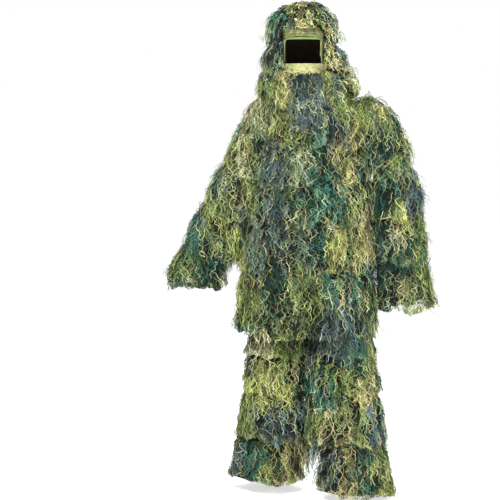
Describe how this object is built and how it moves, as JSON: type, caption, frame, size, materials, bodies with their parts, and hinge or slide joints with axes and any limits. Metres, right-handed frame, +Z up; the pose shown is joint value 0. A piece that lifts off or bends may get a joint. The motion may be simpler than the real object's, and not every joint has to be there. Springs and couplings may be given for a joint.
{
  "type": "ghillie suit",
  "caption": "Hooded camouflage ghillie suit: jacket and trousers of thin cloth hung with tiers of loose thread fringe, with a face opening and a chin flap.",
  "frame": {"origin": "on the floor under the wearer's body, between the legs", "axes": "+Z up, the front faces -Y, the wearer's right side is -X"},
  "size_m": [1.0065, 0.4553, 1.8575],
  "materials": {
    "carrier_cloth": "thin woven camouflage cloth, matt",
    "hood_cloth": "thin woven cloth, matt, near black inside the hood",
    "thread_fringe": "loose olive, tan and yellow-green threads, matt",
    "dark_fringe": "loose teal, slate and grey-green threads, matt",
    "binding": "green bias binding",
    "face_band": "light olive camouflage cloth",
    "elastic": "woven elastic",
    "snap_metal": "dull metal snap",
    "gusset": "soft gathered cloth"
  },
  "bodies": {
    "jacket": {"jacket_back_panel": "carrier_cloth", "jacket_front_right": "carrier_cloth", "jacket_front_left": "carrier_cloth", "jacket_skirt": "carrier_cloth", "front_placket": "binding", "snap_upper": "snap_metal", "snap_lower": "snap_metal", "collar": "binding", "cape_fringe_front": "thread_fringe", "cape_fringe_back": "thread_fringe", "chest_fringe_front": "dark_fringe", "chest_fringe_back": "dark_fringe", "waist_fringe": "thread_fringe", "skirt_fringe": "dark_fringe", "hem_fringe": "thread_fringe", "trouser_seat": "carrier_cloth", "waistband_elastic": "elastic", "right_shoulder_gusset": "gusset", "left_shoulder_gusset": "gusset", "right_hip_gusset": "gusset", "left_hip_gusset": "gusset"},
    "hood": {"hood_shell": "hood_cloth", "crown_fringe": "thread_fringe", "hood_upper_fringe": "dark_fringe", "hood_lower_fringe": "thread_fringe", "hood_brim": "hood_cloth", "brim_binding": "binding", "opening_binding": "binding"},
    "face_flap": {"face_flap": "face_band", "flap_snap": "snap_metal", "bib_fringe": "dark_fringe"},
    "right_upper_arm": {"right_upper_sleeve": "carrier_cloth", "right_upper_fringe": "thread_fringe", "right_elbow_gusset": "gusset", "right_elbow_fringe": "dark_fringe"},
    "right_forearm": {"right_lower_sleeve": "carrier_cloth", "right_lower_fringe": "thread_fringe", "right_cuff_fringe": "dark_fringe", "right_cuff_elastic": "elastic"},
    "right_thigh": {"right_thigh": "carrier_cloth", "right_knee_gusset": "gusset", "right_knee_fringe": "thread_fringe"},
    "right_shin": {"right_shin": "carrier_cloth", "right_shin_fringe": "dark_fringe", "right_leg_cuff_fringe": "thread_fringe"},
    "left_upper_arm": {"left_upper_sleeve": "carrier_cloth", "left_upper_fringe": "thread_fringe", "left_elbow_gusset": "gusset", "left_elbow_fringe": "dark_fringe"},
    "left_forearm": {"left_lower_sleeve": "carrier_cloth", "left_lower_fringe": "thread_fringe", "left_cuff_fringe": "dark_fringe", "left_cuff_elastic": "elastic"},
    "left_thigh": {"left_thigh": "carrier_cloth", "left_knee_gusset": "gusset", "left_knee_fringe": "thread_fringe"},
    "left_shin": {"left_shin": "carrier_cloth", "left_shin_fringe": "dark_fringe", "left_leg_cuff_fringe": "thread_fringe"}
  },
  "joints": [
    {"name": "hood_tilt", "type": "hinge", "parent": "jacket", "child": "hood", "pos_m": [0, 0.164, 1.548], "axis": [-1, 0, 0], "range_deg": [0, 75], "deforming": ["hood_lower_fringe"]},
    {"name": "flap_open", "type": "hinge", "parent": "hood", "child": "face_flap", "pos_m": [-0.084, -0.094, 1.609], "axis": [0, 0, -1], "range_deg": [0, 68]},
    {"name": "right_shoulder", "type": "hinge", "parent": "jacket", "child": "right_upper_arm", "pos_m": [-0.106, 0, 1.44], "axis": [0, 1, 0], "range_deg": [0, 60], "deforming": ["right_shoulder_gusset", "right_upper_fringe"]},
    {"name": "right_elbow", "type": "hinge", "parent": "right_upper_arm", "child": "right_forearm", "pos_m": [-0.23986, 0, 1.17152], "axis": [-0.8949, 0, 0.4462], "range_deg": [0, 60], "deforming": ["right_elbow_gusset", "right_elbow_fringe"]},
    {"name": "left_shoulder", "type": "hinge", "parent": "jacket", "child": "left_upper_arm", "pos_m": [0.215, 0, 1.44], "axis": [0, -1, 0], "range_deg": [0, 60], "deforming": ["left_shoulder_gusset", "left_upper_fringe"]},
    {"name": "left_elbow", "type": "hinge", "parent": "left_upper_arm", "child": "left_forearm", "pos_m": [0.3451, 0, 1.16968], "axis": [-0.9917, 0, -0.1288], "range_deg": [0, 60], "deforming": ["left_elbow_gusset", "left_elbow_fringe"]},
    {"name": "right_hip", "type": "hinge", "parent": "jacket", "child": "right_thigh", "pos_m": [-0.078, 0, 0.905], "axis": [-1, 0, 0], "range_deg": [0, 38], "deforming": ["right_hip_gusset", "jacket_skirt", "skirt_fringe", "hem_fringe"]},
    {"name": "right_knee", "type": "hinge", "parent": "right_thigh", "child": "right_shin", "pos_m": [-0.09, 0.01, 0.49], "axis": [1, 0, 0], "range_deg": [0, 60], "deforming": ["right_knee_gusset", "right_knee_fringe"]},
    {"name": "left_hip", "type": "hinge", "parent": "jacket", "child": "left_thigh", "pos_m": [0.11, 0, 0.905], "axis": [-1, 0, 0], "range_deg": [0, 38], "deforming": ["left_hip_gusset", "jacket_skirt", "skirt_fringe", "hem_fringe"]},
    {"name": "left_knee", "type": "hinge", "parent": "left_thigh", "child": "left_shin", "pos_m": [0.16, -0.05, 0.49], "axis": [1, 0, 0], "range_deg": [0, 60], "deforming": ["left_knee_gusset", "left_knee_fringe"]}
  ]
}
